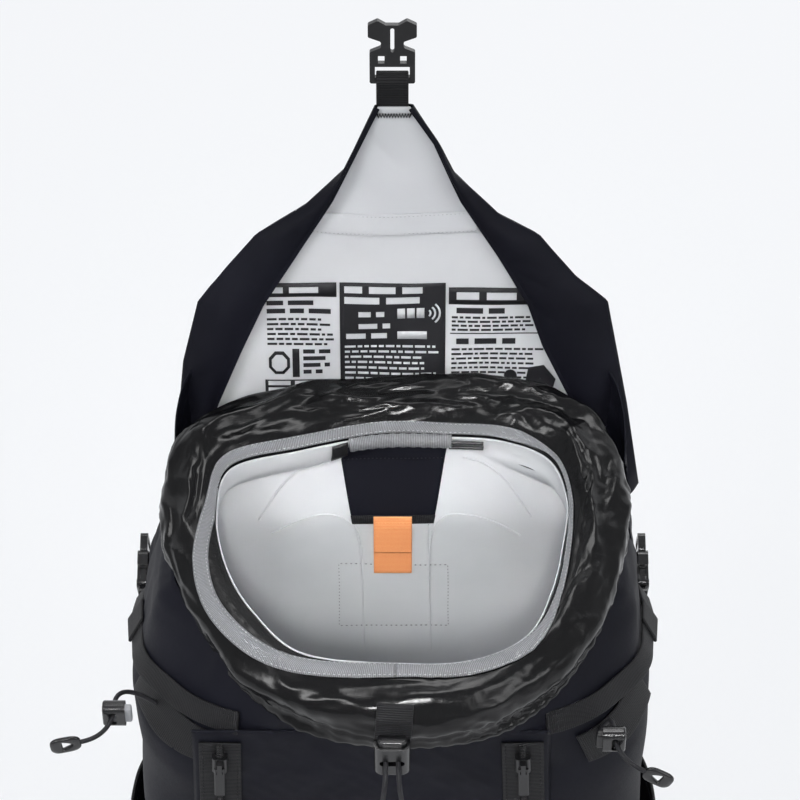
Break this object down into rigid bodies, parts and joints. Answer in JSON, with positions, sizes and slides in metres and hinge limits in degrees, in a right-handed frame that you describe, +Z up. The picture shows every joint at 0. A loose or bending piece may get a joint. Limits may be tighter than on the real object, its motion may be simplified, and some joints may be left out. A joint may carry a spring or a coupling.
{
  "type": "avalanche airbag backpack",
  "caption": "Top-loading avalanche airbag backpack with roll-out drawcord collar, tilting hooked lid, tool cords, padded harness, ripcord and a gas-fed airbag stowed behind its lining.",
  "frame": {"origin": "centre of the base's underside, where the pack stands on the floor", "axes": "+Z up out of the opening, +Y towards the wearer's back, -Y the pack's front, +X to the right as seen from the front"},
  "size_m": [0.395, 0.4074, 0.7646],
  "materials": {
    "shell_fabric": "tight dark navy ripstop, slightly waxy",
    "collar_fabric": "glossy coated black ripstop",
    "lining_fabric": "silver grey coated satin lining",
    "binding_tape": "grey ribbed binding tape",
    "webbing": "black ribbed webbing",
    "cord": "black braided elastic",
    "hard_black": "black acetal, satin",
    "gloss_black": "black nylon, polished",
    "button_grey": "grey acetal plunger",
    "pull_orange": "peach orange webbing",
    "foam": "black mesh over foam",
    "airbag_fabric": "orange airbag nylon",
    "cartridge_metal": "brushed steel",
    "wire_metal": "black lacquered spring wire",
    "sheet_plastic": "black back sheet",
    "head_plastic": "glass-filled black nylon",
    "grip_red": "red ripcord grip"
  },
  "bodies": {
    "pack": {"bag_shell": "shell_fabric", "base_boot": "shell_fabric", "back_yoke": "shell_fabric", "side_pockets": "shell_fabric", "front_pocket": "shell_fabric", "front_zips": "webbing", "collar": "collar_fabric", "collar_tape": "binding_tape", "drawcord": "cord", "drawcord_tail": "cord", "drawcord_lock": "gloss_black", "compression_straps": "webbing", "side_buckles": "gloss_black", "side_prongs": "gloss_black", "lining_panel": "lining_fabric", "window_flap": "shell_fabric", "frame_wire": "wire_metal", "wire_tunnel": "lining_fabric", "frame_sheet": "sheet_plastic", "airbag": "airbag_fabric", "gas_cartridge": "cartridge_metal", "inflator_head": "head_plastic", "fill_hose": "hard_black", "release_cable": "hard_black", "back_pads": "foam", "lumbar_pad": "foam", "haul_loop": "webbing", "leg_loop": "webbing", "axe_patches": "shell_fabric", "axe_cord_left": "cord", "axe_cord_right": "cord", "axe_locks": "gloss_black", "axe_pulls": "hard_black"},
    "lid": {"lid_shell": "shell_fabric", "lid_wings": "shell_fabric", "lid_pocket_band": "binding_tape", "lid_webbing": "webbing"},
    "hook": {"lid_hook": "hard_black"},
    "pull_tab": {"panel_pull_tab": "pull_orange"},
    "zip_pull_left": {"zip_slider_left": "hard_black"},
    "zip_pull_right": {"zip_slider_right": "hard_black"},
    "draw_button": {"drawcord_button": "hard_black"},
    "tool_button_left": {"axe_button_left": "button_grey"},
    "tool_button_right": {"axe_button_right": "hard_black"},
    "strap_left": {"shoulder_strap_left": "foam", "strap_adjuster_left": "hard_black", "lower_webbing_left": "webbing", "sternum_strap_left": "webbing", "sternum_buckle": "hard_black", "trigger_pocket": "shell_fabric"},
    "strap_right": {"shoulder_strap_right": "foam", "strap_adjuster_right": "hard_black", "lower_webbing_right": "webbing"},
    "sternum_right": {"sternum_strap_right": "webbing", "sternum_prong": "hard_black"},
    "ripcord": {"trigger_handle": "grip_red"},
    "hip_left": {"hip_wing_left": "foam", "hip_buckle_left": "hard_black"},
    "hip_right": {"hip_wing_right": "foam", "hip_prong_right": "hard_black"}
  },
  "joints": [
    {"name": "lid_hinge", "type": "hinge", "parent": "pack", "child": "lid", "pos_m": [0, 0.1086, 0.5128], "axis": [1, 0, 0], "range_deg": [-50, 102]},
    {"name": "hook_pivot", "type": "hinge", "parent": "lid", "child": "hook", "pos_m": [0, 0.18171, 0.72543], "axis": [1, 0, 0], "range_deg": [-55, 55]},
    {"name": "pull_tab_pivot", "type": "hinge", "parent": "pack", "child": "pull_tab", "pos_m": [0, 0.0586, 0.432], "axis": [-1, 0, 0], "range_deg": [0, 80]},
    {"name": "zip_left_slide", "type": "slide", "parent": "pack", "child": "zip_pull_left", "axis": [-0.0289, 0, -0.9996], "range_m": [0, 0.31]},
    {"name": "zip_right_slide", "type": "slide", "parent": "pack", "child": "zip_pull_right", "axis": [0.0404, 0, -0.9992], "range_m": [0, 0.31]},
    {"name": "draw_button_press", "type": "slide", "parent": "pack", "child": "draw_button", "axis": [0, 0, -1], "range_m": [0, 0.0035], "stiffness_N_per_m": 400},
    {"name": "tool_button_left_press", "type": "slide", "parent": "pack", "child": "tool_button_left", "axis": [-1, 0, 0], "range_m": [0, 0.0035], "stiffness_N_per_m": 300},
    {"name": "tool_button_right_press", "type": "slide", "parent": "pack", "child": "tool_button_right", "axis": [1, 0, 0], "range_m": [0, 0.0035], "stiffness_N_per_m": 300},
    {"name": "strap_left_hinge", "type": "hinge", "parent": "pack", "child": "strap_left", "pos_m": [-0.066, 0.1125, 0.432], "axis": [1, 0, 0], "range_deg": [0, 30]},
    {"name": "strap_right_hinge", "type": "hinge", "parent": "pack", "child": "strap_right", "pos_m": [0.066, 0.1125, 0.432], "axis": [1, 0, 0], "range_deg": [0, 30]},
    {"name": "sternum_release", "type": "slide", "parent": "strap_right", "child": "sternum_right", "axis": [1, 0, 0], "range_m": [0, 0.02]},
    {"name": "ripcord_pull", "type": "slide", "parent": "strap_left", "child": "ripcord", "axis": [0, 0, -1], "range_m": [0, 0.026]},
    {"name": "hip_left_hinge", "type": "hinge", "parent": "pack", "child": "hip_left", "pos_m": [-0.064, 0.1072, 0.092], "axis": [0, 0, 1], "range_deg": [-35, 0]},
    {"name": "hip_right_hinge", "type": "hinge", "parent": "pack", "child": "hip_right", "pos_m": [0.064, 0.1072, 0.092], "axis": [0, 0, 1], "range_deg": [0, 35]}
  ],
  "couplings": [
    {"joint": "strap_right_hinge", "follows": "strap_left_hinge", "ratio": 1}
  ]
}
